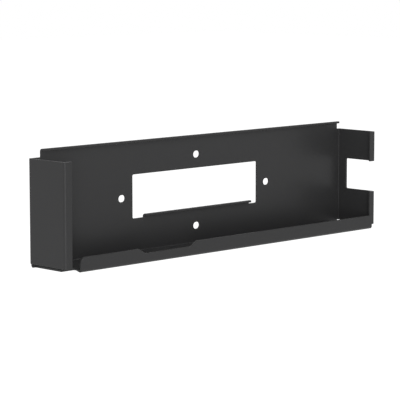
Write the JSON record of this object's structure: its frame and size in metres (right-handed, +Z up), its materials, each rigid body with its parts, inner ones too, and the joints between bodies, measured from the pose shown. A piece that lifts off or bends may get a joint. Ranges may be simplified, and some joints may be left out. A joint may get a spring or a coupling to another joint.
{
  "type": "game console wall mount",
  "caption": "Folded sheet-steel wall bracket with a shelf, low front lip, lipped side panels and a back window; holds a game console against a wall.",
  "frame": {"origin": "middle of the four screw slots, on the face that lies on the wall", "axes": "+X to the right along the bracket seen from the front, +Y into the wall, +Z up"},
  "size_m": [0.3, 0.0382, 0.0771],
  "materials": {
    "powder_coated_steel": "matt powder coat"
  },
  "bodies": {
    "root": {"bracket": "powder_coated_steel"}
  },
  "joints": []
}
